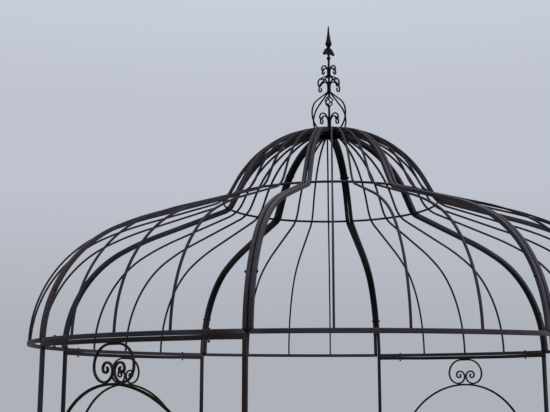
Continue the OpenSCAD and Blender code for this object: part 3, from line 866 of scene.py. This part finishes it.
def finial_lines():
    """The bent bars of one arm of the finial, in (distance from the axis, height above the cap)."""
    curl_foot, curl_head = (STEM_R, CURL_Z, 270.0), (STEM_R, CURL_Z, 90.0)
    sweep_x, sweep_z, _ = step_end(curl_foot, (SWEEP_ROOT_R, 90 - SWEEP_SLOPE))
    head_reach = STEM_R + CAGE_HEAD_R - sweep_x
    head_z = sweep_z - head_reach * tan(SWEEP_SLOPE) - (CAGE_HEAD_R + FINE) / cos(SWEEP_SLOPE)
    sweep_run = head_reach * cos(SWEEP_SLOPE) + (sweep_z - head_z) * sin(SWEEP_SLOPE) + CAGE_LAP

    bulge = CAGE_R - CAGE_FOOT_R
    bend_r = (bulge**2 + CAGE_BELLY_Z**2) / (2 * bulge)
    heading = math.degrees(math.acos(CAGE_BELLY_Z / bend_r))
    inward = CAGE_R - STEM_R - (bend_r + CAGE_NECK_R) * (1 - cos(CAGE_LEAN))
    foot = (CAGE_FOOT_R, 0.0, heading)
    lower = [(bend_r, 90 - heading + CAGE_LEAN), (inward / sin(CAGE_LEAN), 0)]
    lower += [(CAGE_NECK_R, -CAGE_LEAN)]
    rise = head_z - bar_end(foot, lower)[1]
    upper = [(rise, 0), (CAGE_HEAD_R, -90 - SWEEP_SLOPE), (CAGE_LAP, 0)]
    cage = bar_places(foot, lower + upper, CAGE_GRAIN)

    hook = [(HOOK_R, HOOK_TURN), (HOOK_TIP, 0)]
    crook_steps = [(CROOK_RISE, 0), (CROOK_ROOT_R, -CROOK_LEAN), (CROOK_R, CROOK_LEAN - 180)]
    crook = bar_places((STEM_R, 0.0, 90.0), crook_steps + hook, CURL_GRAIN)
    curl_steps = [(CURL_RISE, 0), (CURL_R, -180), (CURL_HOOK_R, HOOK_TURN), (HOOK_TIP / 2, 0)]
    curl = bar_places(curl_head, curl_steps, CURL_GRAIN)
    sweep_steps = [(SWEEP_ROOT_R, 90 - SWEEP_SLOPE), (sweep_run, 0), (SWEEP_R, -SWEEP_TURN)]
    sweep = bar_places(curl_foot, sweep_steps + hook, CURL_GRAIN)
    double_curl = [(x, y, h + 180, s) for x, y, h, s in curl[:0:-1]] + sweep
    return cage, crook, double_curl


def carried(points):
    """Places along a free line of points, with the section's axes carried along without twist."""
    found = []
    u = None
    for i, p in enumerate(points):
        after, before = points[min(i + 1, len(points) - 1)], points[max(i - 1, 0)]
        along = (after - before).normalized()
        u = along.orthogonal() if u is None else u - along * u.dot(along)
        u.normalize()
        found.append((p, u.copy(), along.cross(u)))
    return found


def finial():
    cage, crook, double_curl = finial_lines()
    m = Mesh()
    for a in ARMS:
        out, across = out_at(a), across_at(a)
        m.sweep(upright(cage, a, CAP_TOP), FINE_SECTION, bevel=FINE_BEVEL)
        m.square_bead(CAP_TOP + out * CAGE_FOOT_R, across, out, FINE, FINE, FINE_BEAD_R)
    m.piece("finial_cage_bars", FINIAL, ["finial_cage"])

    m = Mesh()
    for a in ARMS:
        m.sweep(upright(crook, a, CAP_TOP), FINE_SECTION, bevel=FINE_BEVEL)
        m.sweep(upright(double_curl, a, CAP_TOP), FINE_SECTION, bevel=FINE_BEVEL)
    m.piece("finial_scroll_bars", FINIAL, ["finial_scrolls"])

    m = Mesh()
    out, across = out_at(FINIAL_TURN), across_at(FINIAL_TURN)
    for low, high in ((0.0, BASKET_Z), (BASKET_Z + BASKET_H, SHAFT_H)):
        heights = [low + (high - low) * i / SHAFT_STEPS for i in range(SHAFT_STEPS + 1)]
        places = [(CAP_TOP + UP * z, out, across) for z in heights]
        m.sweep(places, SHAFT_SECTION, bevel=SHAFT_BEVEL)
    for a in ARMS:
        points = []
        for i in range(STRAND_STEPS + 1):
            t = i / STRAND_STEPS
            r = STRAND_ROOT_R + (BASKET_R - STRAND_ROOT_R) * sin(180 * t)
            z = BASKET_Z - STRAND_LAP + (BASKET_H + 2 * STRAND_LAP) * t
            points.append(CAP_TOP + out_at(a + BASKET_TWIST * t) * r + UP * z)
        m.sweep(carried(points), STRAND_SECTION)
    m.square_bead(CAP_TOP, out, across, SHAFT, SHAFT, SHAFT_BEAD_R)
    m.piece("finial_shaft_bars", FINIAL, ["finial_shaft"])

    spear(CAP_TOP + UP * SHAFT_H)


def arc(x, z, r, start, end):
    angles = [start + (end - start) * i / LEAF_STEPS for i in range(LEAF_STEPS + 1)]
    return [Vector((x + r * cos(a), 0, z + r * sin(a))) for a in angles]


def leaf_rings(turn, base, top_z):
    """Outlines of one drooping leaf, from one swollen face through its rim to the other."""
    out, down = LEAF_SHOULDER
    shoulder_x, shoulder_z = LEAF_REACH * out, top_z - LEAF_DROP * down
    tip_x, tip_z = LEAF_REACH - LEAF_TIP_R, top_z - LEAF_DROP
    x, z = tip_x - shoulder_x, shoulder_z - tip_z
    fall = math.degrees(math.atan2(x, z)) - asin((LEAF_SHOULDER_R - LEAF_TIP_R) / math.hypot(x, z))
    line = [Vector((0, 0, top_z))]
    line += arc(shoulder_x, shoulder_z, LEAF_SHOULDER_R, LEAF_TOP_ANGLE, fall)
    line += arc(tip_x, tip_z, LEAF_TIP_R, fall, LEAF_TIP_ANGLE)
    line += [Vector((0, 0, tip_z))]
    middle = sum(line, Vector()) / len(line)
    spin = Matrix.Rotation(math.radians(turn), 3, "Z")
    rings = []
    for side, size in LEAF_SWELL[::-1] + [(-side, size) for side, size in LEAF_SWELL]:
        shift = Vector((0, side * FINE / 2, 0))
        rings.append([base + spin @ (middle + (q - middle) * size + shift) for q in line])
    return rings


def softened(shape):
    """An outline of (radius, height) with every corner between its ends rounded."""
    smooth = [shape[0]]
    for i in range(1, len(shape) - 1):
        p, q, r = (Vector(shape[i + d]) for d in (-1, 0, 1))
        soft = min((p - q).length, (r - q).length) * SPEAR_SOFT
        b, c = (p - q).normalized() * soft, (r - q).normalized() * soft
        smooth += [tuple(q + b * (1 - k) ** 2 + c * k**2) for k in (0, 0.25, 0.5, 0.75, 1)]
    return smooth + [shape[-1]]


def spear(base):
    waist = SPEAR_BLADE_Z * SPEAR_WAIST
    above = SPEAR_H - SPEAR_BLADE_Z
    shape = [
        (0.0, 0.0),
        (SPEAR_STEM_R, 0.0),
        (SPEAR_COLLAR_R, SPEAR_COLLAR_R * 0.4),
        (SPEAR_COLLAR_R, SPEAR_COLLAR_R * 0.9),
        (SPEAR_STEM_R, SPEAR_COLLAR_R * 1.3),
        (SPEAR_STEM_R, waist * 0.65),
        (SPEAR_STEM_R * 1.4, waist * 0.85),
        (SPEAR_R * 0.5, waist),
        (SPEAR_R, SPEAR_BLADE_Z),
        (SPEAR_R * 0.72, SPEAR_BLADE_Z + above * 0.16),
        (SPEAR_R * 0.36, SPEAR_BLADE_Z + above * 0.53),
        (SPEAR_TIP_R, SPEAR_H - SPEAR_TIP_R),
        (0.0, SPEAR_H),
    ]
    outline = [(max(r, SPEAR_AXIS_R), z) for r, z in softened(shape)]
    m = Mesh()
    m.spindle(outline, SPEAR_SIDES, base)
    for side in (0, 180):
        rings = leaf_rings(FINIAL_TURN + SPEAR_TURN + side, base, waist + WELD)
        m.rings(rings, [[LEAF_WEAR_AND_SHEEN] * len(ring) for ring in rings])
    m.piece("finial_spear_head", FINIAL, ["finial_spear"])


corner_ribs()
for i, label in enumerate(BAYS):
    eaves_bar(i * BAY, label)
    thin_ribs(i * BAY, label)
    neck_bar(i * BAY, label)
for i in WALLED:
    top_rail(i * BAY, BAYS[i])
    arch(i * BAY, BAYS[i])
    scrolls(i * BAY, BAYS[i])
    railing(i * BAY, BAYS[i])
posts()
bolts()
crown()
finial()

NODE_PAINTS = {
    "corner_rib": ROOF,
    "roof_grid": ROOF,
    "crown": FINIAL,
    "finial": FINIAL,
    "arch": ARCH,
}
for name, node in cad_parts.items():
    paint = next((p for start, p in NODE_PAINTS.items() if name.startswith(start)), WALL)
    node.data.materials.clear()
    node.data.materials.append(paint)

# What the camera sees of the floor and the backdrop, and what lights the object
FLOOR_R, FLOOR_GRAIN, FLOOR_ROUGH = 50, 5, 0.9
FLOOR_SEEN, FLOOR_LIGHTING = (0.32, 0.33, 0.35), (0.055, 0.045, 0.035)
FLOOR_GLOW, FLOOR_GLOW_STRENGTH = (0.52, 0.55, 0.61, 1.0), 0.5
# By the upward part of the way that a ray goes: 0 level, 1 straight up
BACKDROP_SEEN = [
    (0.05, (0.42, 0.44, 0.49)),
    (0.2, (0.515, 0.545, 0.615)),
    (0.28, (0.515, 0.545, 0.615)),
    (0.39, (0.58, 0.62, 0.71)),
]
BACKDROP_LIGHTING = [
    (0.0, (0.02, 0.022, 0.026)),
    (0.3, (0.09, 0.10, 0.12)),
    (1.0, (0.86, 0.88, 0.92)),
]
LAMP_AIM, LAMP_SIZE, LAMP_COLOUR = (0, 0, 2.5), 8, (0.98, 0.97, 1.0)
LAMPS = {"key": ((10.7, -6.7, 13.9), 2700), "fill": ((-9.1, -11.6, 11.0), 950)}


def shown(t):
    """1 for the rays that show the floor and the backdrop, 0 for those that light the object."""
    path = t.add("ShaderNodeLightPath")
    seen = t.math("MAXIMUM", path.outputs["Is Camera Ray"], path.outputs["Is Glossy Ray"])
    return t.math("MAXIMUM", seen, path.outputs["Is Transmission Ray"])


def make_floor():
    mesh = bpy.data.meshes.new("floor")
    rim = [out_at(a) * FLOOR_R for a in range(0, 360, FLOOR_GRAIN)]
    mesh.from_pydata(rim, [], [tuple(range(len(rim)))])
    floor = bpy.data.objects.new("floor", mesh)
    bpy.context.scene.collection.objects.link(floor)
    m = bpy.data.materials.new("floor_pale")
    t = Tree(m)
    seen = shown(t)
    surface = {
        "Base Color": t.mix(seen, FLOOR_LIGHTING, FLOOR_SEEN),
        "Roughness": FLOOR_ROUGH,
        "Emission Color": FLOOR_GLOW,
        "Emission Strength": t.math("MULTIPLY", seen, FLOOR_GLOW_STRENGTH),
    }
    bsdf = t.add("ShaderNodeBsdfPrincipled", surface)
    t.add("ShaderNodeOutputMaterial", {"Surface": bsdf.outputs["BSDF"]})
    mesh.materials.append(m)


def make_backdrop():
    world = bpy.data.worlds.new("sky")
    bpy.context.scene.world = world
    t = Tree(world)
    upward = t.upward(t.add("ShaderNodeTexCoord").outputs["Generated"])
    lighting, seen = (
        t.add("ShaderNodeBackground", {"Color": t.ramp(upward, stops), "Strength": 1.0}).outputs[0]
        for stops in (BACKDROP_LIGHTING, BACKDROP_SEEN)
    )
    mix = t.add("ShaderNodeMixShader", {0: shown(t), 1: lighting, 2: seen})
    t.add("ShaderNodeOutputWorld", {"Surface": mix.outputs[0]})


def area_light(name, at, power):
    data = bpy.data.lights.new(name, "AREA")
    data.size = LAMP_SIZE
    data.energy = power
    data.color = LAMP_COLOUR
    lamp = bpy.data.objects.new(name, data)
    bpy.context.scene.collection.objects.link(lamp)
    lamp.location = at
    lamp.rotation_mode = "QUATERNION"
    lamp.rotation_quaternion = (Vector(LAMP_AIM) - Vector(at)).to_track_quat("-Z", "Y")


make_floor()
make_backdrop()
for name, (at, power) in LAMPS.items():
    area_light(name, at, power)

scene = bpy.context.scene
scene.view_settings.view_transform = "Standard"
